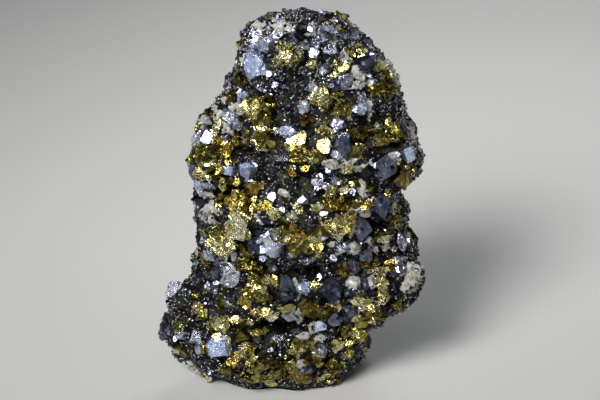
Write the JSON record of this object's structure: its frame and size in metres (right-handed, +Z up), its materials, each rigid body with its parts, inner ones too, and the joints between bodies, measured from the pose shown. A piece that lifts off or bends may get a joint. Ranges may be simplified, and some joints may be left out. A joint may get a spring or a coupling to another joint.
{
  "type": "chalcopyrite mineral specimen",
  "caption": "Upright cabinet specimen of brassy chalcopyrite grown together with galena, sphalerite and quartz, on a flat broken foot.",
  "frame": {"origin": "middle of the bounding box's underside, on the flat broken foot", "axes": "+Z up along the specimen's height, the crystal-covered face towards -Y, +X to the right of that face"},
  "size_m": [0.0832, 0.0516, 0.1177],
  "materials": {
    "ore": "broken sulfide ore with grey-white quartz, dull metallic grain",
    "chalcopyrite": "bright brassy crinkled crystal faces with orange-brown tarnish",
    "galena": "lead-grey metallic crystal faces, satin to bright",
    "sphalerite": "black glittering crystals with a diamond-like lustre",
    "quartz": "cloudy grey-white crystals, glassy faces"
  },
  "bodies": {
    "root": {"specimen": "ore"}
  },
  "joints": []
}
